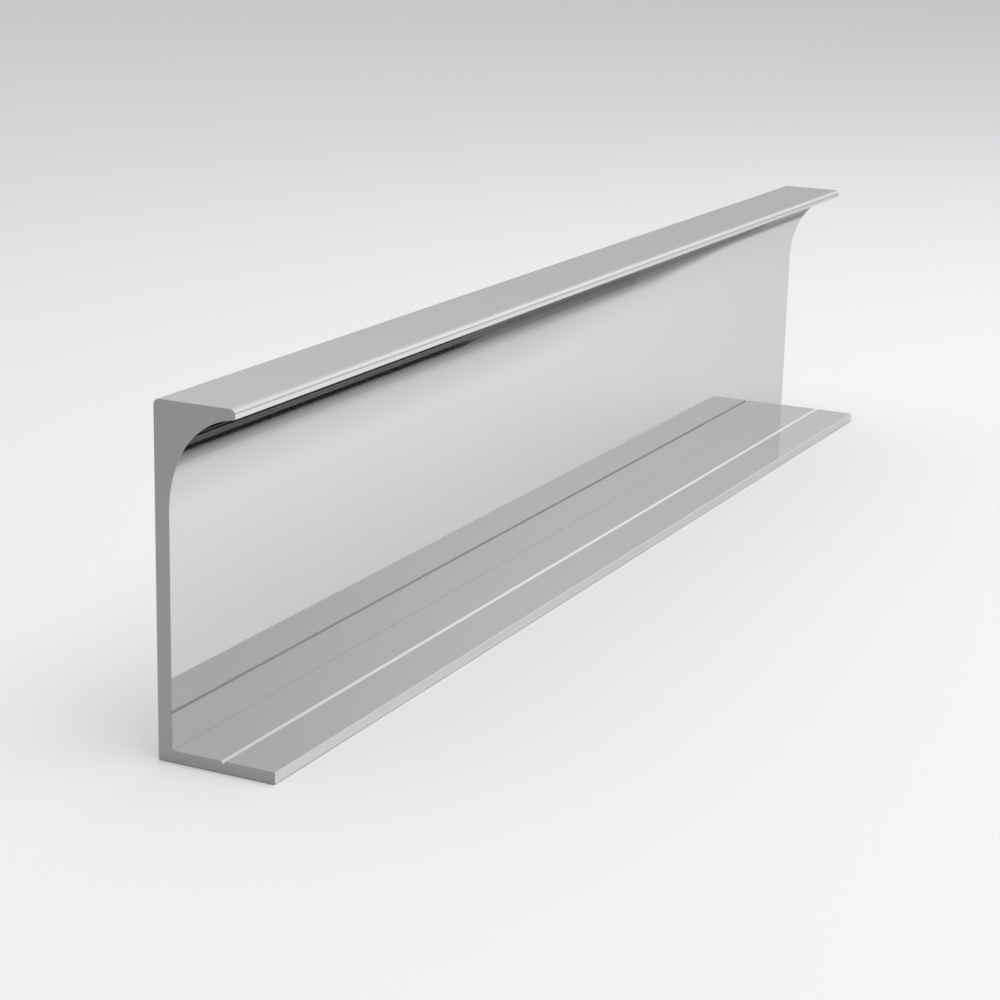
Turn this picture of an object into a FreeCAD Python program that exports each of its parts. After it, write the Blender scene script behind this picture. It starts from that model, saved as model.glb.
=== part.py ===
"""Handleless finger pull profile: a sawn length of C-shaped aluminium extrusion.

X runs along the length, the open side faces -Y and Z is up. The origin is at the middle of
the underside. All sizes are in millimetres and are kept in the sheet named Sizes.
"""
import FreeCAD, Part
import math
import os

import Sketcher

NODE = "pull_profile"

# an edge this close to a corner's place is the one meant
NEAR = 0.01

# the most of the lip's front edge that its top rounding may take up
LIP_SHARE = 0.8

SIZES = [
    ("cut_length", 345.0, "length between the two sawn ends"),
    ("height", 72.0, "underside of the flange to the top of the lip"),
    ("flange_depth", 26.4, "back of the web to the front edge of the flange"),
    ("lip_depth", 18.0, "back of the web to the front of the lip"),
    ("web_wall", 3.2, "thickness of the upright web"),
    ("flange_wall", 2.5, "thickness of the bottom flange"),
    ("lip_edge", 2.0, "thickness of the lip at its front edge"),
    ("cove_drop", 21.8, "top of the lip down to the point where the cove leaves the web"),
    ("foot_radius", 25.0, "gentle lower arc of the cove, tangent to the web"),
    ("cove_radius", 15.5, "tighter upper arc of the cove, under the lip"),
    ("top_radius", 1.2, "rounding of the two top corners"),
    ("groove_width", 1.0, "width of the drill line on the flange"),
    ("groove_deep", 0.6, "depth of the drill line"),
    ("edge_break", 0.25, "die radius on the remaining outer corners"),
    ("root_fillet", 0.1, "die radius where the flange meets the web"),
]


def fill_sheet(document):
    """Write every size into its own named cell."""
    sheet = document.addObject("Spreadsheet::Sheet", "Sizes")
    for row, (alias, value, meaning) in enumerate(SIZES, start=1):
        sheet.set("A%d" % row, meaning)
        sheet.set("B%d" % row, str(value))
        sheet.setAlias("B%d" % row, alias)
    document.recompute()
    return sheet


def origin_plane(body, role):
    """Find one of the body's own reference planes."""
    for feature in body.Origin.OriginFeatures:
        if feature.Role == role:
            return feature
    raise RuntimeError("no plane " + role)


def cove_centres(sheet, inner, lip):
    """Place the centres of the cove's two arcs, as (Y, Z), and give the angle at which they meet.

    The lower arc leaves the web upright. The upper one meets it without a corner and ends at the
    lip's lower edge, so its centre lies where two circles cross.
    """
    low_y = inner - sheet.foot_radius
    low_z = sheet.height - sheet.cove_drop
    reach_y = lip - low_y
    reach_z = sheet.height - sheet.lip_edge - low_z
    reach = math.hypot(reach_y, reach_z)
    apart = sheet.foot_radius - sheet.cove_radius
    along = (apart ** 2 - sheet.cove_radius ** 2 + reach ** 2) / (2 * reach)
    aside = math.sqrt(apart ** 2 - along ** 2)
    high_y = low_y + (along * reach_y + aside * reach_z) / reach
    high_z = low_z + (along * reach_z - aside * reach_y) / reach
    return (low_y, low_z), (high_y, high_z), math.atan2(high_z - low_z, high_y - low_y)


def corner_points(sheet):
    """Place the corners of the section, as (Y, Z), from the sizes in the sheet."""
    back = sheet.flange_depth / 2
    front = -sheet.flange_depth / 2
    inner = back - sheet.web_wall
    lip = back - sheet.lip_depth
    middle = (inner + front) / 2
    half_groove = sheet.groove_width / 2
    return {
        "back_foot": (back, 0.0),
        "back_top": (back, sheet.height),
        "lip_top": (lip, sheet.height),
        "lip_under": (lip, sheet.height - sheet.lip_edge),
        "cove_foot": (inner, sheet.height - sheet.cove_drop),
        "root": (inner, sheet.flange_wall),
        "groove_back": (middle + half_groove, sheet.flange_wall),
        "groove_floor": (middle, sheet.flange_wall - sheet.groove_deep),
        "groove_front": (middle - half_groove, sheet.flange_wall),
        "front_top": (front, sheet.flange_wall),
        "front_foot": (front, 0.0),
    }


def draw_section(body, sheet):
    """Draw the die section and bind its dimensions to the sheet."""
    sketch = body.newObject("Sketcher::SketchObject", "Section")
    sketch.AttachmentSupport = [(origin_plane(body, "YZ_Plane"), "")]
    sketch.MapMode = "FlatFace"
    place = corner_points(sheet)

    def line(start, end):
        first = FreeCAD.Vector(place[start][0], place[start][1], 0)
        second = FreeCAD.Vector(place[end][0], place[end][1], 0)
        return sketch.addGeometry(Part.LineSegment(first, second), False)

    def arc(centre, radius, start, end):
        middle = FreeCAD.Vector(centre[0], centre[1], 0)
        circle = Part.Circle(middle, FreeCAD.Vector(0, 0, 1), radius)
        return sketch.addGeometry(Part.ArcOfCircle(circle, start, end), False)

    back = line("back_foot", "back_top")
    top = line("back_top", "lip_top")
    lip = line("lip_top", "lip_under")
    inner_y = place["cove_foot"][0]
    lip_y, lip_z = place["lip_under"]
    low, high, joint = cove_centres(sheet, inner_y, lip_y)
    sweep = math.atan2(lip_z - high[1], lip_y - high[0])
    cove_low = arc(low, sheet.foot_radius, 0, joint)
    cove_high = arc(high, sheet.cove_radius, joint, sweep)
    web = line("cove_foot", "root")
    flange_back = line("root", "groove_back")
    groove_back = line("groove_back", "groove_floor")
    groove_front = line("groove_floor", "groove_front")
    flange_front = line("groove_front", "front_top")
    front = line("front_top", "front_foot")
    foot = line("front_foot", "back_foot")

    def add(*parts):
        return sketch.addConstraint(Sketcher.Constraint(*parts))

    run = [web, flange_back, groove_back, groove_front, flange_front, front, foot, back, top, lip]
    for earlier, later in zip(run, run[1:]):
        add("Coincident", earlier, 2, later, 1)
    add("Coincident", lip, 2, cove_high, 2)
    add("Tangent", cove_low, 2, cove_high, 1)
    add("Tangent", cove_low, 1, web, 1)
    for upright in (back, lip, web, front):
        add("Vertical", upright)
    for level in (top, flange_back, flange_front):
        add("Horizontal", level)
    add("Horizontal", flange_back, 2, flange_front, 1)
    add("Symmetric", foot, 1, foot, 2, -1, 1)
    add("PointOnObject", foot, 1, -1)
    add("Equal", flange_back, flange_front)
    add("Equal", groove_back, groove_front)

    def measure(name, kind, *parts):
        index = add(kind, *parts)
        sketch.renameConstraint(index, name)
        sketch.setExpression("Constraints." + name, "Sizes." + name)

    measure("height", "DistanceY", back, 1, back, 2, sheet.height)
    measure("flange_depth", "DistanceX", foot, 1, foot, 2, sheet.flange_depth)
    measure("lip_depth", "DistanceX", top, 2, top, 1, sheet.lip_depth)
    measure("web_wall", "DistanceX", web, 2, back, 1, sheet.web_wall)
    measure("flange_wall", "DistanceY", front, 2, front, 1, sheet.flange_wall)
    measure("lip_edge", "DistanceY", lip, 2, lip, 1, sheet.lip_edge)
    measure("cove_drop", "DistanceY", web, 1, back, 2, sheet.cove_drop)
    measure("foot_radius", "Radius", cove_low, sheet.foot_radius)
    measure("cove_radius", "Radius", cove_high, sheet.cove_radius)
    measure("groove_width", "DistanceX", groove_front, 2, groove_back, 1, sheet.groove_width)
    measure("groove_deep", "DistanceY", groove_back, 2, groove_back, 1, sheet.groove_deep)
    return sketch


def pad_section(body, sketch):
    """Run the section along the length, half to each side of the middle."""
    pad = body.newObject("PartDesign::Pad", "Bar")
    pad.Profile = sketch
    pad.SideType = "Symmetric"
    pad.setExpression("Length", "Sizes.cut_length")
    return pad


def round_corners(body, earlier, name, places, radius):
    """Round the long edges that stand at the given places of the section."""
    chosen = []
    for number, edge in enumerate(earlier.Shape.Edges, start=1):
        middle = edge.CenterOfMass
        if abs(middle.x) > NEAR:
            continue
        for y, z in places:
            if math.hypot(middle.y - y, middle.z - z) < NEAR:
                chosen.append("Edge%d" % number)
    if len(chosen) != len(places):
        raise RuntimeError("%s found %d of %d edges" % (name, len(chosen), len(places)))
    fillet = body.newObject("PartDesign::Fillet", name)
    fillet.Base = (earlier, chosen)
    fillet.setExpression("Radius", radius)
    return fillet


def check(document):
    """Stop before anything is written if a feature failed."""
    for item in document.Objects:
        if "Invalid" in item.State or "Error" in item.State:
            raise RuntimeError(item.Label + " failed")
        if hasattr(item, "Shape") and item.TypeId.startswith("PartDesign::"):
            if item.Shape.isNull() or not item.Shape.isValid():
                raise RuntimeError(item.Label + " has no sound shape")


document = FreeCAD.newDocument("FingerPullProfile")
sheet = fill_sheet(document)
body = document.addObject("PartDesign::Body", "PullProfile")
body.Label = NODE

section = draw_section(body, sheet)
document.recompute()
if not section.FullyConstrained:
    raise RuntimeError("the section has free dimensions")

bar = pad_section(body, section)
document.recompute()

corner = corner_points(sheet)
tops = [corner["back_top"], corner["lip_top"]]
most = "%g * (Sizes.lip_edge - Sizes.edge_break)" % LIP_SHARE
rounded = round_corners(body, bar, "TopRounding", tops, "min(Sizes.top_radius; %s)" % most)
document.recompute()

rest = [corner["lip_under"], corner["front_top"], corner["front_foot"], corner["back_foot"]]
broken = round_corners(body, rounded, "EdgeBreak", rest, "Sizes.edge_break")
document.recompute()

finished = round_corners(body, broken, "RootFillet", [corner["root"]], "Sizes.root_fillet")
document.recompute()

check(document)
os.makedirs("parts", exist_ok=True)
body.Shape.exportStep("parts/%s.step" % body.Label)
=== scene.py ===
"""Looks of the bright aluminium finger pull profile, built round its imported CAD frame.

A node tree runs the die section along the bar's length and closes the sawn ends. The bar takes
the place of the CAD node and stands on a pale floor in soft studio light. Lengths are in metres,
on the frame's own axes: X along the bar, -Y out of the open side, Z up.
"""

import logging
import math
from dataclasses import dataclass, field
from enum import Enum, IntEnum
from typing import Any, Union

import bpy
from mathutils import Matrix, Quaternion, Vector


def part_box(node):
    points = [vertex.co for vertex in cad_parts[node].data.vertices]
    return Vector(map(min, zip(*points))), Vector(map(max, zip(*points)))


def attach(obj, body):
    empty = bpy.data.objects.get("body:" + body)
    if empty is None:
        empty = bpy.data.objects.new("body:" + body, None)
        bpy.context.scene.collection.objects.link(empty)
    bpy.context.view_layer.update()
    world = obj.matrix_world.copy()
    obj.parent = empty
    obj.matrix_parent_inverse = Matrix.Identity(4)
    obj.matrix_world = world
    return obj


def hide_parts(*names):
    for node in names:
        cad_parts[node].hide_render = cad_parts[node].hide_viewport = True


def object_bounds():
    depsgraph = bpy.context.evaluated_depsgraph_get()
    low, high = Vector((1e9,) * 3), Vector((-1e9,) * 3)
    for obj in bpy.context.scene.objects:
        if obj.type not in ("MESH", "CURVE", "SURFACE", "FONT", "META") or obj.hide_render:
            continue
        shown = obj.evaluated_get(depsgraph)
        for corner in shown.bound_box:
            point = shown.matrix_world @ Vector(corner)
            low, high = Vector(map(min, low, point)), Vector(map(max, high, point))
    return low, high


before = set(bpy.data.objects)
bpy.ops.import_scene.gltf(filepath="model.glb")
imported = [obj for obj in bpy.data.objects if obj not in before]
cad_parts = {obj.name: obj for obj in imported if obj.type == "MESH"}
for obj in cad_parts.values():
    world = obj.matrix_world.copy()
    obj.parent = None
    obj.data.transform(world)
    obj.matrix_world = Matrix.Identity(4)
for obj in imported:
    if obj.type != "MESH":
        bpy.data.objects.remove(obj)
CAD_LOW, CAD_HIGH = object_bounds()

LOG = logging.getLogger("finger_pull")
MM = 0.001
NODE = "pull_profile"
BODY = "root"

# points closer together than this are welded into one
WELD = 0.001 * MM

# edges that bend by more than this many degrees stay crisp
CRISP = 20.0

# a face whose direction leans along the bar by more than this belongs to a sawn end
END_LEAN = 0.3

# radians by which the wave texture turns in one unit, at a scale of 1
WAVE_RATE = 20.0

Colour = tuple[float, float, float]
Spot = tuple[float, float, float]
Place = tuple[float, float]
Span = tuple[float, float]
Socket = bpy.types.NodeSocket
Feeds = dict[Union[int, str], Any]


class Ramp(Enum):
    """Ways of carrying a value from one span to another."""

    EVEN = "LINEAR"
    SOFT = "SMOOTHSTEP"


class Mark(Enum):
    """Names of the values that the section carries at each of its points."""

    OUTWARD = "outward"
    MITRE = "mitre"
    # the two hollow marks say how much painted shade each point gets, at the near end and at the
    # far end
    HOLLOW = "hollow"
    HOLLOW_FAR = "painted_shade_far"

    @property
    def plain(self) -> bool:
        """Tell a plain number from a direction."""
        return self in (Mark.HOLLOW, Mark.HOLLOW_FAR)

    @property
    def kind(self) -> str:
        """Give the type under which the values are stored."""
        return "FLOAT" if self.plain else "FLOAT_VECTOR"


class Stretch(IntEnum):
    """Places in the outline of the stretches that get painted shade."""

    COVE_HIGH = 8
    COVE_LOW = 9
    ROOT = 11
    GROOVE_FRONT = 14


class Wiring:
    """Adds nodes to one tree and joins their sockets."""

    def __init__(self, tree: bpy.types.NodeTree) -> None:
        """Keep the tree that later nodes go into."""
        self.tree = tree

    def feed(self, node: bpy.types.Node, feeds: Feeds) -> None:
        """Set or join a node's inputs.

        Args:
            node: Node to feed.
            feeds: Input by place or name, with a fixed value or another node's output.
        """
        for key, value in feeds.items():
            if isinstance(value, Socket):
                self.tree.links.new(value, node.inputs[key])
            else:
                node.inputs[key].default_value = value

    def add(self, kind: str, feeds: Feeds, **options: Any) -> bpy.types.Node:
        """Add one node.

        Args:
            kind: Type of the node.
            feeds: Input by place or name, with a fixed value or another node's output.
            options: Settings of the node itself, made before its inputs are fed.

        Returns:
            The new node.
        """
        node = self.tree.nodes.new(kind)
        for name, value in options.items():
            setattr(node, name, value)
        self.feed(node, feeds)
        return node

    def first(self, kind: str, feeds: Feeds, **options: Any) -> Socket:
        """Add one node, in the same way, and give its first output."""
        return self.add(kind, feeds, **options).outputs[0]

    def number(self, operation: str, *values: Any) -> Socket:
        """Add one step of plain arithmetic and give its result."""
        return self.first("ShaderNodeMath", dict(enumerate(values)), operation=operation)

    def agree(self, one: Any, other: Any) -> Socket:
        """Give the dot product of two directions."""
        node = self.add("ShaderNodeVectorMath", {0: one, 1: other}, operation="DOT_PRODUCT")
        return node.outputs["Value"]

    def ramp(self, value: Socket, source: tuple[Any, Any], target: Span, way: Ramp) -> Socket:
        """Carry a value from one span to another.

        Args:
            value: Value to carry.
            source: Span that it comes from, past which it is held.
            target: Span that it goes to.
            way: How it runs from one end to the other.

        Returns:
            The value in the target's span.
        """
        feeds = {"Value": value, "From Min": source[0], "From Max": source[1],
                 "To Min": target[0], "To Max": target[1]}
        return self.first("ShaderNodeMapRange", feeds, interpolation_type=way.value)

    def tint(self, share: Socket, one: Any, other: Any) -> Socket:
        """Mix two colours.

        Args:
            share: Amount of the second colour.
            one: Colour where the share is 0, with its opacity.
            other: Colour where the share is 1, with its opacity.

        Returns:
            The mixed colour.
        """
        feeds = {"Factor": share, "A": one, "B": other}
        return self.add("ShaderNodeMix", feeds, data_type="RGBA").outputs["Result"]

    def join(self, *pieces: Socket) -> Socket:
        """Put several pieces of geometry into one.

        Args:
            pieces: Pieces in the order in which they follow each other.

        Returns:
            All of them as one geometry.
        """
        node = self.add("GeometryNodeJoinGeometry", {})
        for piece in pieces:
            self.tree.links.new(piece, node.inputs[0])
        return node.outputs[0]


@dataclass(frozen=True)
class Flat:
    """A straight stretch of the section's outline."""

    start: Place
    end: Place

    def trace(self) -> list[tuple[Place, Place]]:
        """Walk along the stretch.

        Returns:
            Its points, each with its outward direction.
        """
        run = Vector(self.end) - Vector(self.start)
        out = (run.y / run.length, -run.x / run.length)
        return [(self.start, out), (self.end, out)]


@dataclass(frozen=True)
class Round:
    """An arc of the section's outline: rising angles bulge outwards, falling ones are hollow."""

    centre: Place
    radius: float
    start: float
    end: float
    steps: int

    def trace(self) -> list[tuple[Place, Place]]:
        """Walk along the stretch.

        Returns:
            Its points, each with its outward direction.
        """
        side = 1.0 if self.end > self.start else -1.0
        found = []
        for step in range(self.steps + 1):
            angle = math.radians(self.start + (self.end - self.start) * step / self.steps)
            ray = (math.cos(angle), math.sin(angle))
            point = (self.centre[0] + self.radius * ray[0], self.centre[1] + self.radius * ray[1])
            found.append((point, (side * ray[0], side * ray[1])))
        return found


@dataclass
class DieSection:
    """The C-shaped section, as (Y, Z), with the sizes that the frame's box doesn't give.

    The two reaches of the painted shade under the lip say how far below the top it starts and
    is in full, at the near end of the bar and at the far one.
    """

    height: float
    flange_depth: float
    lip_depth: float = 18.0 * MM
    web_wall: float = 3.2 * MM
    flange_wall: float = 2.5 * MM
    lip_edge: float = 2.0 * MM
    cove_drop: float = 21.8 * MM
    foot_radius: float = 25.0 * MM
    cove_radius: float = 15.5 * MM
    top_radius: float = 1.2 * MM
    groove_width: float = 1.0 * MM
    groove_deep: float = 0.6 * MM
    edge_break: float = 0.25 * MM
    root_fillet: float = 0.1 * MM
    # reaches and shares of the painted shade in the hollows and under the lip
    painted_shade_near: Span = (14.8 * MM, 8.7 * MM)
    painted_shade_far: Span = (10.0 * MM, 8.1 * MM)
    root_shade_share: float = 0.42
    groove_shade_share: float = 0.5
    cove_steps: int = 48
    corner_steps: int = 10

    def corner(self, y: float, z: float, radius: float, start: float) -> Round:
        """Give a quarter round about a centre, from a starting angle."""
        return Round((y, z), radius, start, start + 90.0, self.corner_steps)

    def cove_centres(self, inner: float, lip: float) -> tuple[Place, Place]:
        """Place the centres of the two arcs that make the cove.

        Args:
            inner: Where the web's front face stands.
            lip: Where the front of the lip stands.

        Returns:
            The centre of the gentle lower arc and that of the tighter upper arc, which meet
            without a corner.
        """
        low = Vector((inner - self.foot_radius, self.height - self.cove_drop))
        reach = Vector((lip, self.height - self.lip_edge)) - low
        apart = self.foot_radius - self.cove_radius
        along = (apart**2 - self.cove_radius**2 + reach.length_squared) / (2.0 * reach.length)
        aside = math.sqrt(apart**2 - along**2)
        ahead = reach.normalized()
        high = low + along * ahead + aside * Vector((ahead.y, -ahead.x))
        return (low.x, low.y), (high.x, high.y)

    def stretches(self) -> list[Union[Flat, Round]]:
        """Work out the closed outline, with the metal on the left of its run.

        Returns:
            The flat and round stretches in order, from the front of the underside.
        """
        back, front = self.flange_depth / 2, -self.flange_depth / 2
        inner, lip = back - self.web_wall, back - self.lip_depth
        high, top, small, root = self.height, self.top_radius, self.edge_break, self.root_fillet
        floor = self.flange_wall
        foot, cove = self.cove_centres(inner, lip)
        nose_y = lip + small
        nose_z = cove[1] + math.sqrt((self.cove_radius + small) ** 2 - (nose_y - cove[0]) ** 2)
        meet = math.degrees(math.atan2(nose_z - cove[1], nose_y - cove[0]))
        joint = math.degrees(math.atan2(cove[1] - foot[1], cove[0] - foot[0]))
        middle, half = (inner + front) / 2, self.groove_width / 2
        return [
            Flat((front + small, 0.0), (back - small, 0.0)),
            self.corner(back - small, small, small, -90.0),
            Flat((back, small), (back, high - top)),
            self.corner(back - top, high - top, top, 0.0),
            Flat((back - top, high), (lip + top, high)),
            self.corner(lip + top, high - top, top, 90.0),
            Flat((lip, high - top), (lip, nose_z)),
            Round((nose_y, nose_z), small, 180.0, 180.0 + meet, self.corner_steps),
            Round(cove, self.cove_radius, meet, joint, self.cove_steps),
            Round(foot, self.foot_radius, joint, 0.0, self.cove_steps),
            Flat((inner, foot[1]), (inner, floor + root)),
            Round((inner - root, floor + root), root, 0.0, -90.0, self.corner_steps),
            Flat((inner - root, floor), (middle + half, floor)),
            Flat((middle + half, floor), (middle, floor - self.groove_deep)),
            Flat((middle, floor - self.groove_deep), (middle - half, floor)),
            Flat((middle - half, floor), (front + small, floor)),
            self.corner(front + small, floor - small, small, 90.0),
            Flat((front, floor - small), (front, small)),
            self.corner(front + small, small, small, 180.0),
        ]

    def hollow_at(self, number: int, level: float, reach: Span) -> float:
        """Say how much painted shade a point of the section gets, by how far into a hollow it lies.

        Args:
            number: Place of its stretch in the outline.
            level: Height of the point.
            reach: How far below the top the hollow starts, and how far below it is in full.

        Returns:
            A fixed share in the root and on the drill line's wall that faces the web, a rising
            value on the cove, where anything over 1 is fully inside, and 0 on open faces.
        """
        shares = {Stretch.ROOT: self.root_shade_share, Stretch.GROOVE_FRONT: self.groove_shade_share}
        if number not in (Stretch.COVE_HIGH, Stretch.COVE_LOW):
            return shares.get(number, 0.0)
        start, full = self.height - reach[0], self.height - reach[1]
        return (level - start) / (full - start)

    def edge_mesh(self) -> bpy.types.Mesh:
        """Draw the outline as edges in the plane of its own first two axes.

        Returns:
            A mesh of one chain a stretch, marked with the outward direction on the bar, the
            direction in which the corner moves when the outline shrinks, and how much painted shade
            each point gets at the bar's two ends.
        """
        traces = [stretch.trace() for stretch in self.stretches()]
        points: list[Spot] = []
        edges: list[tuple[int, int]] = []
        marks: dict[Mark, list[float]] = {mark: [] for mark in Mark}
        for number, trace in enumerate(traces):
            before, after = traces[number - 1][-1][1], traces[(number + 1) % len(traces)][0][1]
            for place, (point, out) in enumerate(trace):
                meets = before if place == 0 else after if place == len(trace) - 1 else out
                both = Vector(out) + Vector(meets)
                both /= 1.0 + Vector(out).dot(Vector(meets))
                if place:
                    edges.append((len(points) - 1, len(points)))
                points.append((point[0], point[1], 0.0))
                near = self.hollow_at(number, point[1], self.painted_shade_near)
                far = self.hollow_at(number, point[1], self.painted_shade_far)
                marks[Mark.OUTWARD] += (0.0, out[0], out[1])
                marks[Mark.MITRE] += (both.x, both.y, 0.0)
                marks[Mark.HOLLOW].append(near)
                marks[Mark.HOLLOW_FAR].append(far)
        mesh = bpy.data.meshes.new("die_section")
        mesh.from_pydata(points, edges, [])
        for mark, values in marks.items():
            layer = mesh.attributes.new(mark.value, mark.kind, "POINT")
            layer.data.foreach_set("value" if mark.plain else "vector", values)
        return mesh


@dataclass(frozen=True)
class BrightSkin:
    """Polished, clear anodised skin with faint die lines along the bar.

    Painted shade keeps the skin darker in the root, on the drill line and far up under the lip.
    """

    clear: Colour = (0.80, 0.80, 0.80)
    hazy: Colour = (0.78, 0.78, 0.781)
    # colour of the painted shade in the hollows and under the lip
    painted_shade_colour: Colour = (0.24, 0.24, 0.241)
    edge_tint: Colour = (0.72, 0.72, 0.72)
    # darker edge tint of the painted shade in the hollows and under the lip
    painted_shade_edge: Colour = (0.54, 0.54, 0.54)
    smooth: float = 0.02
    dull: float = 0.05
    dulling: Span = (0.12, 0.42)
    line_run: float = 90.0 * MM
    line_pitch: float = 0.45 * MM
    line_deep: float = 0.00004 * MM
    line_detail: float = 4.0
    line_grain: float = 0.6
    cloud_scale: float = 28.0
    cloud_detail: float = 3.0
    cloud_grain: float = 0.5

    def lines(self, wire: Wiring, place: Socket) -> Socket:
        """Draw the faint lines that the die leaves along the bar.

        Args:
            wire: Tree of the material.
            place: Where on the bar the finish is read.

        Returns:
            The height of the lines.
        """
        across = 1.0 / self.line_pitch
        feeds = {"Vector": place, "Scale": (1.0 / self.line_run, across, across)}
        drawn = wire.first("ShaderNodeMapping", feeds)
        feeds = {"Vector": drawn, "Scale": 1.0, "Detail": self.line_detail,
                 "Roughness": self.line_grain}
        return wire.add("ShaderNodeTexNoise", feeds).outputs["Fac"]

    def build(self) -> bpy.types.Material:
        """Make the material.

        Returns:
            The finish of every long face.
        """
        material = bpy.data.materials.new("bright_skin")
        material.use_nodes = True
        wire = Wiring(material.node_tree)
        place = wire.add("ShaderNodeTexCoord", {}).outputs["Object"]
        lines = self.lines(wire, place)
        feeds = {"Vector": place, "Scale": self.cloud_scale, "Detail": self.cloud_detail,
                 "Roughness": self.cloud_grain}
        cloud = wire.add("ShaderNodeTexNoise", feeds).outputs["Fac"]
        wear = wire.number("MULTIPLY", lines, cloud)
        feeds = {"Height": lines, "Strength": 1.0, "Distance": self.line_deep}
        relief = wire.first("ShaderNodeBump", feeds)
        # the hollow's mark, softened, is the mask of the painted shade in the hollows and under the
        # lip
        mark = wire.add("ShaderNodeAttribute", {}, attribute_name=Mark.HOLLOW.value)
        hollow = wire.ramp(mark.outputs["Fac"], (0.0, 1.0), (0.0, 1.0), Ramp.SOFT)
        unshaded_colour = wire.tint(cloud, (*self.clear, 1.0), (*self.hazy, 1.0))
        wire.feed(material.node_tree.nodes["Principled BSDF"], {
            "Metallic": 1.0,
            # painted shade: the edge tint and the colour turn darker where that mask is full
            "Specular Tint": wire.tint(hollow, (*self.edge_tint, 1.0), (*self.painted_shade_edge, 1.0)),
            "Base Color": wire.tint(hollow, unshaded_colour, (*self.painted_shade_colour, 1.0)),
            "Roughness": wire.ramp(wear, self.dulling, (self.smooth, self.dull), Ramp.EVEN),
            "Normal": relief,
        })
        return material


@dataclass(frozen=True)
class SawnEnd:
    """Bare cut metal with the curved marks of a saw blade."""

    pale: Colour = (0.43, 0.43, 0.433)
    dark: Colour = (0.38, 0.38, 0.383)
    blade_centre: Spot = (0.0, 0.13, -0.05)
    mark_pitch: float = 0.55 * MM
    mark_deep: float = 0.0006 * MM
    mark_wander: float = 6.0
    mark_detail: float = 3.0
    mark_scale: float = 0.4
    mark_grain: float = 0.6
    grit_scale: float = 2600.0
    grit_detail: float = 4.0
    grit_grain: float = 0.6
    smooth: float = 0.54
    dull: float = 0.6

    def marks(self, wire: Wiring, place: Socket) -> Socket:
        """Draw the rings that the blade's teeth leave.

        Args:
            wire: Tree of the material.
            place: Where on the bar the finish is read.

        Returns:
            The height of the rings.
        """
        blade = wire.first("ShaderNodeMapping", {"Vector": place, "Location": self.blade_centre})
        feeds = {"Vector": blade, "Scale": 2.0 * math.pi / self.mark_pitch / WAVE_RATE,
                 "Distortion": self.mark_wander, "Detail": self.mark_detail,
                 "Detail Scale": self.mark_scale, "Detail Roughness": self.mark_grain}
        rings = wire.add("ShaderNodeTexWave", feeds, wave_type="RINGS", rings_direction="X",
                         wave_profile="SIN")
        return rings.outputs["Fac"]

    def build(self) -> bpy.types.Material:
        """Make the material.

        Returns:
            The finish of both sawn ends.
        """
        material = bpy.data.materials.new("sawn_end")
        material.use_nodes = True
        wire = Wiring(material.node_tree)
        place = wire.add("ShaderNodeTexCoord", {}).outputs["Object"]
        marks = self.marks(wire, place)
        feeds = {"Vector": place, "Scale": self.grit_scale, "Detail": self.grit_detail,
                 "Roughness": self.grit_grain}
        grit = wire.add("ShaderNodeTexNoise", feeds).outputs["Fac"]
        feeds = {"Height": wire.number("ADD", marks, grit), "Strength": 1.0,
                 "Distance": self.mark_deep}
        relief = wire.first("ShaderNodeBump", feeds)
        wire.feed(material.node_tree.nodes["Principled BSDF"], {
            "Metallic": 1.0,
            "Base Color": wire.tint(grit, (*self.pale, 1.0), (*self.dark, 1.0)),
            "Roughness": wire.ramp(marks, (0.0, 1.0), (self.smooth, self.dull), Ramp.EVEN),
            "Normal": relief,
        })
        return material


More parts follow.
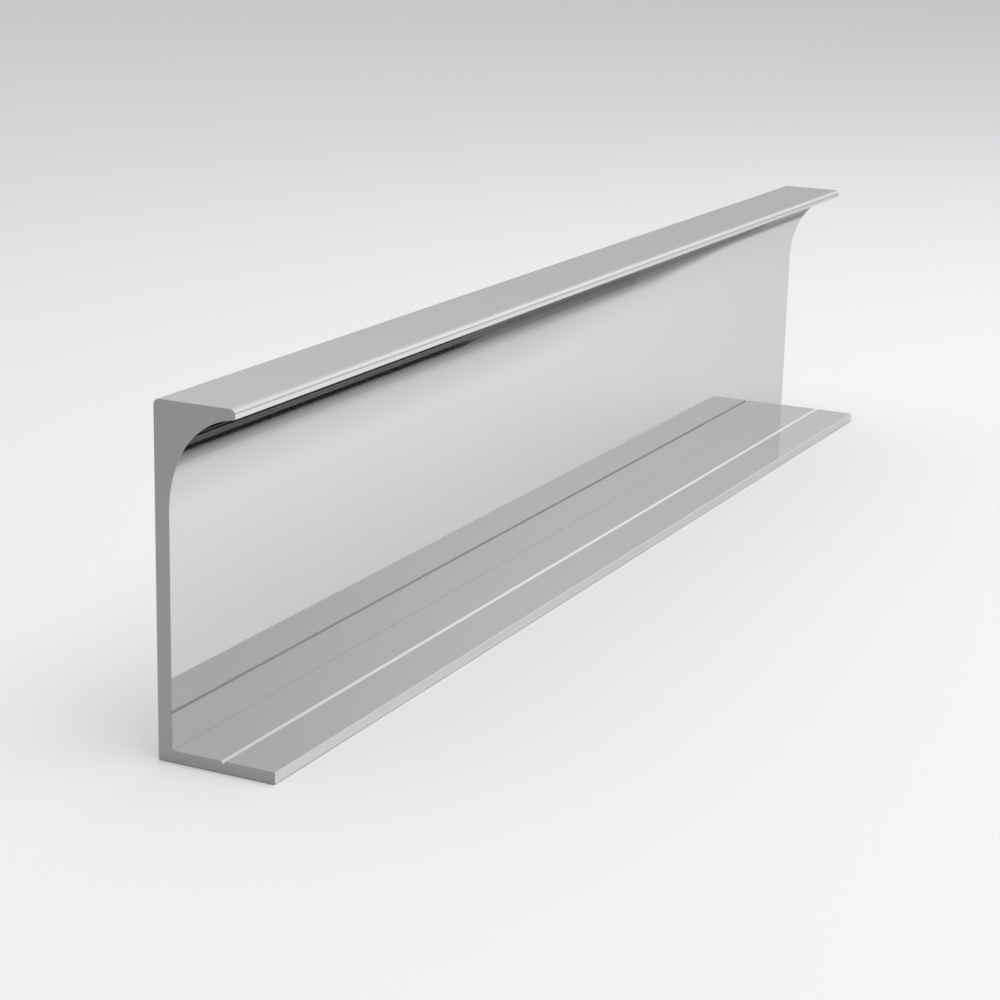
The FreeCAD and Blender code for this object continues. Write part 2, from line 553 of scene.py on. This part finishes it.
@dataclass
class PullBar:
    """The one piece: the section run along its length, with both ends sawn and deburred.

    The painted shade under the lip keeps its near reach up to the first share of the length in
    the thinning, and has its far reach from the second one on. The runs are short enough to
    follow that change.
    """

    length: float
    section: DieSection
    deburr: float = 0.12 * MM
    runs: int = 12
    thinning: Span = (0.68, 0.92)
    skin: BrightSkin = field(default_factory=BrightSkin)
    sawn: SawnEnd = field(default_factory=SawnEnd)

    def draw_tree(self) -> bpy.types.NodeTree:
        """Build the tree that turns the outline's edges into the closed bar.

        Returns:
            The tree, with the bar's length, the deburring and the two finishes as its inputs.
        """
        tree = bpy.data.node_groups.new("draw_bar", "GeometryNodeTree")
        kinds = {"Geometry": "NodeSocketGeometry", "Length": "NodeSocketFloat",
                 "Deburr": "NodeSocketFloat", "Skin": "NodeSocketMaterial",
                 "Sawn": "NodeSocketMaterial"}
        for name, kind in kinds.items():
            tree.interface.new_socket(name, in_out="INPUT", socket_type=kind)
        tree.interface.new_socket("Geometry", in_out="OUTPUT", socket_type=kinds["Geometry"])
        wire = Wiring(tree)
        given = wire.add("NodeGroupInput", {}).outputs
        half = wire.number("MULTIPLY", given["Length"], 0.5)
        less = wire.number("MULTIPLY", half, -1.0)
        shrink = wire.number("MULTIPLY", given["Deburr"], -1.0)
        feeds = {0: self.named(wire, Mark.MITRE), "Scale": shrink}
        inset = wire.first("ShaderNodeVectorMath", feeds, operation="SCALE")
        skin = self.run_skin(wire, given, half, less, inset)
        caps = self.close_ends(wire, given, half, less, inset)
        feeds = {"Geometry": wire.join(skin, caps), "Distance": WELD}
        welded = wire.first("GeometryNodeMergeByDistance", feeds)
        quarter = math.radians(90.0)
        feeds = {"Geometry": welded, "Rotation": (quarter, 0.0, quarter)}
        laid = wire.first("GeometryNodeTransform", feeds)
        flat, cut = self.find_ends(wire)
        shaded = self.shade(wire, laid, flat, cut)
        whole = wire.first("GeometryNodeRealizeInstances", {"Geometry": shaded})
        feeds = {"Geometry": whole, "Material": given["Skin"]}
        bright = wire.first("GeometryNodeSetMaterial", feeds)
        feeds = {"Geometry": bright, "Selection": cut, "Material": given["Sawn"]}
        wire.add("NodeGroupOutput", {0: wire.first("GeometryNodeSetMaterial", feeds)})
        return tree

    @staticmethod
    def named(wire: Wiring, mark: Mark) -> Socket:
        """Read one of the section's marks inside the tree.

        Args:
            wire: Tree that is being built.
            mark: Which of the marks.

        Returns:
            The mark's value.
        """
        feeds = {"Name": mark.value}
        node = wire.add("GeometryNodeInputNamedAttribute", feeds, data_type=mark.kind)
        return node.outputs["Attribute"]

    @staticmethod
    def along(wire: Wiring) -> Socket:
        """Read how far along the bar a point lies, while the bar still stands on end."""
        place = wire.first("GeometryNodeInputPosition", {})
        return wire.add("ShaderNodeSeparateXYZ", {0: place}).outputs["Z"]

    def run_skin(
        self, wire: Wiring, given: Any, half: Socket, less: Socket, inset: Socket
    ) -> Socket:
        """Run the outline's edges from one end to the other.

        Args:
            wire: Tree that is being built.
            given: Inputs of the tree.
            half: Half of the bar's length.
            less: The same, negative.
            inset: How far each point moves in where the end is deburred.

        Returns:
            The long faces, one strip for each stretch of the outline.
        """
        foot = wire.first("ShaderNodeCombineXYZ", {"Z": less})
        feeds = {"Geometry": given["Geometry"], "Translation": foot}
        grown = {"Mesh": wire.first("GeometryNodeTransform", feeds), "Offset Scale": 1.0}
        bevels = wire.number("MULTIPLY", given["Deburr"], 2.0)
        plain = wire.number("SUBTRACT", given["Length"], bevels)
        equal = wire.number("DIVIDE", plain, float(self.runs))
        for rise in (given["Deburr"], *[equal] * self.runs, given["Deburr"]):
            grown["Offset"] = wire.first("ShaderNodeCombineXYZ", {"Z": rise})
            drawn = wire.add("GeometryNodeExtrudeMesh", grown, mode="EDGES").outputs
            grown.update({"Mesh": drawn["Mesh"], "Selection": drawn["Top"]})
        marked = self.mark_corners(wire, grown["Mesh"], half, less)
        turned = self.face_outwards(wire, marked)
        away = wire.number("ABSOLUTE", self.along(wire))
        spare = wire.number("MULTIPLY", given["Deburr"], 0.5)
        ends = wire.number("GREATER_THAN", away, wire.number("SUBTRACT", half, spare))
        feeds = {"Geometry": turned, "Selection": ends, "Offset": inset}
        return wire.first("GeometryNodeSetPosition", feeds)

    def mark_corners(self, wire: Wiring, strips: Socket, half: Socket, less: Socket) -> Socket:
        """Keep the marks on each face's own corners, so that welding doesn't mix them.

        Args:
            wire: Tree that is being built.
            strips: Long faces, while the bar still stands on end.
            half: Half of the bar's length.
            less: The same, negative.

        Returns:
            The same faces, with the painted shade's mark run from one end's value to the other's.
        """
        # the mark of the painted shade runs from its near reach to its far reach along the bar
        even = wire.ramp(self.along(wire), (less, half), (0.0, 1.0), Ramp.EVEN)
        share = wire.ramp(even, self.thinning, (0.0, 1.0), Ramp.SOFT)
        feeds = {"Factor": share, "A": self.named(wire, Mark.HOLLOW),
                 "B": self.named(wire, Mark.HOLLOW_FAR)}
        hollow = wire.first("ShaderNodeMix", feeds, data_type="FLOAT")
        values = {Mark.OUTWARD: self.named(wire, Mark.OUTWARD), Mark.HOLLOW: hollow}
        for mark, value in values.items():
            feeds = {"Geometry": strips, "Name": mark.value, "Value": value}
            strips = wire.first("GeometryNodeStoreNamedAttribute", feeds, data_type=mark.kind,
                                domain="CORNER")
        return strips

    def face_outwards(self, wire: Wiring, strips: Socket) -> Socket:
        """Turn round each face that looks into the metal, since every run of the edges turns them.

        Args:
            wire: Tree that is being built.
            strips: Long faces, while the bar still stands on end.

        Returns:
            The same faces, all looking out.
        """
        facing = wire.add("GeometryNodeInputNormal", {}).outputs["True Normal"]
        parts = wire.add("ShaderNodeSeparateXYZ", {0: facing}).outputs
        lying = wire.first("ShaderNodeCombineXYZ", {"Y": parts["X"], "Z": parts["Y"]})
        agree = wire.agree(lying, self.named(wire, Mark.OUTWARD))
        inside = wire.number("LESS_THAN", agree, 0.0)
        return wire.first("GeometryNodeFlipFaces", {"Mesh": strips, "Selection": inside})

    def close_ends(
        self, wire: Wiring, given: Any, half: Socket, less: Socket, inset: Socket
    ) -> Socket:
        """Fill the shrunken outline and set it at both ends.

        Args:
            wire: Tree that is being built.
            given: Inputs of the tree.
            half: Half of the bar's length.
            less: The same, negative.
            inset: How far each point moves in where the end is deburred.

        Returns:
            The two sawn faces, both facing outwards.
        """
        feeds = {"Geometry": given["Geometry"], "Distance": WELD}
        ring = wire.first("GeometryNodeMergeByDistance", feeds)
        small = wire.first("GeometryNodeSetPosition", {"Geometry": ring, "Offset": inset})
        loop = wire.first("GeometryNodeMeshToCurve", {"Mesh": small})
        filled = wire.first("GeometryNodeFillCurve", {"Curve": loop}, mode="NGONS")
        placed = []
        for shift in (half, less):
            step = wire.first("ShaderNodeCombineXYZ", {"Z": shift})
            feeds = {"Geometry": filled, "Translation": step}
            placed.append(wire.first("GeometryNodeTransform", feeds))
        turned = wire.first("GeometryNodeFlipFaces", {"Mesh": placed[1]})
        return wire.join(placed[0], turned)

    @staticmethod
    def find_ends(wire: Wiring) -> tuple[Socket, Socket]:
        """Tell the sawn faces from the long ones.

        Args:
            wire: Tree that is being built.

        Returns:
            Each face's own direction, and whether it belongs to a sawn end.
        """
        facing = wire.add("GeometryNodeInputNormal", {}).outputs["True Normal"]
        flat = wire.first("GeometryNodeFieldOnDomain", {0: facing}, domain="FACE",
                          data_type="FLOAT_VECTOR")
        lean = wire.number("ABSOLUTE", wire.add("ShaderNodeSeparateXYZ", {0: flat}).outputs["X"])
        return flat, wire.number("GREATER_THAN", lean, END_LEAN)

    def shade(self, wire: Wiring, bar: Socket, flat: Socket, cut: Socket) -> Socket:
        """Let the arcs catch the light as true rounds and the ends as flat faces.

        Args:
            wire: Tree that is being built.
            bar: The closed bar.
            flat: Each face's own direction.
            cut: Whether a face belongs to a sawn end.

        Returns:
            The bar with its shading set and only the painted shade's mark left on it.
        """
        feeds = {"Switch": cut, "False": self.named(wire, Mark.OUTWARD), "True": flat}
        choice = wire.first("GeometryNodeSwitch", feeds, input_type="VECTOR")
        bend = wire.add("GeometryNodeInputMeshEdgeAngle", {}).outputs["Unsigned Angle"]
        crisp = wire.number("GREATER_THAN", bend, math.radians(CRISP))
        feeds = {"Mesh": bar, "Edge Sharpness": crisp}
        creased = wire.first("GeometryNodeSetMeshNormal", feeds, mode="SHARPNESS")
        feeds = {"Mesh": creased, "Custom Normal": choice}
        shaded = wire.first("GeometryNodeSetMeshNormal", feeds, mode="TANGENT_SPACE")
        for mark in (Mark.OUTWARD, Mark.MITRE, Mark.HOLLOW_FAR):
            feeds = {"Geometry": shaded, "Name": mark.value}
            shaded = wire.first("GeometryNodeRemoveAttribute", feeds)
        return shaded

    def build(self) -> bpy.types.Object:
        """Draw the bar and put it in the CAD node's place.

        Returns:
            The finished bar as a plain mesh.
        """
        bench = bpy.data.objects.new("draw_bench", self.section.edge_mesh())
        bpy.context.scene.collection.objects.link(bench)
        tree = self.draw_tree()
        values = {"Length": self.length, "Deburr": self.deburr,
                  "Skin": self.skin.build(), "Sawn": self.sawn.build()}
        drawing = bench.modifiers.new("draw_bar", "NODES")
        drawing.node_group = tree
        for socket in tree.interface.items_tree:
            if socket.in_out == "INPUT" and socket.name in values:
                drawing[socket.identifier] = values[socket.name]
        graph = bpy.context.evaluated_depsgraph_get()
        mesh = bpy.data.meshes.new_from_object(bench.evaluated_get(graph), depsgraph=graph)
        bench.modifiers.remove(drawing)
        bpy.data.objects.remove(bench)
        mesh.name = "finger_pull_bar"
        bar = bpy.data.objects.new("finger_pull_bar", mesh)
        bpy.context.scene.collection.objects.link(bar)
        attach(bar, BODY)
        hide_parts(NODE)
        return bar


@dataclass(frozen=True)
class PaleFloor:
    """Matt pale floor paper, with a painted pool of light that is palest round the bar."""

    # painted pool of light: the middle colour round the bar, the rim colour away from it
    middle: Colour = (0.932, 0.932, 0.936)
    painted_pool_rim: Colour = (0.78, 0.784, 0.792)
    painted_pool_place: Spot = (0.20, -0.20, 0.0)
    painted_pool_reach: Spot = (1.2, 0.9, 1.0)
    matt: float = 0.9
    sheen: float = 0.1
    half_side: float = 6.0
    drop: float = 0.05 * MM

    def build(self) -> bpy.types.Object:
        """Lay the floor just under the bar.

        Returns:
            The floor.
        """
        side, level = self.half_side, CAD_LOW.z - self.drop
        turns = ((-side, -side), (side, -side), (side, side), (-side, side))
        mesh = bpy.data.meshes.new("floor")
        mesh.from_pydata([(x, y, level) for x, y in turns], [], [(0, 1, 2, 3)])
        mesh.materials.append(self.paper())
        floor = bpy.data.objects.new("floor", mesh)
        bpy.context.scene.collection.objects.link(floor)
        return floor

    def paper(self) -> bpy.types.Material:
        """Make the floor's finish.

        Returns:
            A matt material with a painted pool of light that darkens gently away from the bar.
        """
        material = bpy.data.materials.new("pale_floor")
        material.use_nodes = True
        wire = Wiring(material.node_tree)
        place = wire.add("ShaderNodeTexCoord", {}).outputs["Object"]
        # painted pool of light: the colour runs from the middle to the rim with distance from the
        # pool's place
        feeds = {"Vector": place, "Location": self.painted_pool_place, "Scale": self.painted_pool_reach}
        painted_pool = wire.first("ShaderNodeMapping", feeds, vector_type="TEXTURE")
        away = wire.add("ShaderNodeVectorMath", {0: painted_pool}, operation="LENGTH").outputs["Value"]
        painted_pool_fade = wire.ramp(away, (0.0, 1.0), (0.0, 1.0), Ramp.SOFT)
        wire.feed(material.node_tree.nodes["Principled BSDF"], {
            "Base Color": wire.tint(painted_pool_fade, (*self.middle, 1.0), (*self.painted_pool_rim, 1.0)),
            "Roughness": self.matt,
            "Specular IOR Level": self.sheen,
        })
        return material


@dataclass(frozen=True)
class StudioLight:
    """Even surroundings with a soft glow beyond the far end, and one wide soft lamp overhead.

    The surroundings are palest on one side. They are a little dimmer at the horizon, and this fades
    between the two angles of the horizon's span.
    """

    dim: float = 0.50
    bright: float = 0.815
    bright_from: Spot = (0.69, 0.72, 0.0)
    side_span: Span = (-0.6, 0.6)
    horizon_share: float = 0.84
    horizon_span: Span = (6.9, 13.0)
    glow: float = 0.265
    glow_from: Spot = (0.925, -0.20, 0.325)
    glow_start: float = 0.94
    lamp_place: Spot = (0.0, -0.55, 1.5)
    lamp_aim: Spot = (0.05, -0.1, 0.0)
    lamp_side: float = 1.6
    lamp_power: float = 12.6

    def build(self) -> None:
        """Light the scene."""
        self.surround()
        self.hang_lamp()

    def surround(self) -> None:
        """Make the surroundings that the bar mirrors."""
        world = bpy.data.worlds.new("studio")
        bpy.context.scene.world = world
        world.use_nodes = True
        wire = Wiring(world.node_tree)
        look = wire.add("ShaderNodeTexCoord", {}).outputs["Generated"]
        side = wire.agree(look, Vector(self.bright_from).normalized())
        even = wire.ramp(side, self.side_span, (self.dim, self.bright), Ramp.SOFT)
        rise = wire.add("ShaderNodeSeparateXYZ", {0: look}).outputs["Z"]
        low, high = (math.sin(math.radians(angle)) for angle in self.horizon_span)
        haze = wire.ramp(rise, (low, high), (self.horizon_share, 1.0), Ramp.EVEN)
        near = wire.agree(look, Vector(self.glow_from).normalized())
        soft = wire.ramp(near, (self.glow_start, 1.0), (0.0, self.glow), Ramp.SOFT)
        wire.feed(world.node_tree.nodes["Background"], {
            "Color": (1.0, 1.0, 1.0, 1.0),
            "Strength": wire.number("ADD", wire.number("MULTIPLY", even, haze), soft),
        })

    def hang_lamp(self) -> None:
        """Hang the wide lamp over the front of the bar."""
        data = bpy.data.lights.new("soft_lamp", "AREA")
        data.size = self.lamp_side
        data.energy = self.lamp_power
        lamp = bpy.data.objects.new("soft_lamp", data)
        lamp.location = self.lamp_place
        aim = Vector(self.lamp_aim) - lamp.location
        lamp.rotation_euler = aim.to_track_quat("-Z", "Y").to_euler()
        bpy.context.scene.collection.objects.link(lamp)


@dataclass(frozen=True)
class Viewpoint:
    """The camera: where it stands, where it looks and its lens, with angles in degrees."""

    place: Spot = (-0.53517, -0.23569, 0.17396)
    heading: float = 64.048
    pitch: float = -15.424
    roll: float = 1.395
    lens: float = 86.32
    sensor: float = 36.0
    clip: Span = (0.01, 50.0)

    def build(self) -> bpy.types.Object:
        """Set up the camera.

        Returns:
            The camera, already chosen for the scene.
        """
        heading, pitch = math.radians(self.heading), math.radians(self.pitch)
        level = math.cos(pitch)
        ahead = Vector((math.sin(heading) * level, math.cos(heading) * level, math.sin(pitch)))
        tilt = Quaternion((0, 0, 1), math.radians(self.roll))
        data = bpy.data.cameras.new("camera")
        data.sensor_width = self.sensor
        data.lens = self.lens
        data.clip_start, data.clip_end = self.clip
        camera = bpy.data.objects.new("camera", data)
        camera.location = self.place
        camera.rotation_mode = "QUATERNION"
        camera.rotation_quaternion = ahead.to_track_quat("-Z", "Y") @ tilt
        bpy.context.scene.collection.objects.link(camera)
        bpy.context.scene.camera = camera
        return camera


def main() -> None:
    """Build the bar, the stage and the camera, and report each."""
    logging.basicConfig(level=logging.INFO, format="%(name)s: %(message)s")
    bpy.context.scene.view_settings.view_transform = "Standard"
    low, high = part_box(NODE)
    section = DieSection(height=high.z - low.z, flange_depth=high.y - low.y)
    bar = PullBar(length=high.x - low.x, section=section).build()
    LOG.info("%s: %d faces", bar.name, len(bar.data.polygons))
    floor = PaleFloor().build()
    LOG.info("%s laid", floor.name)
    StudioLight().build()
    LOG.info("studio lit")
    camera = Viewpoint().build()
    LOG.info("%s set", camera.name)


if __name__ == "__main__":
    main()
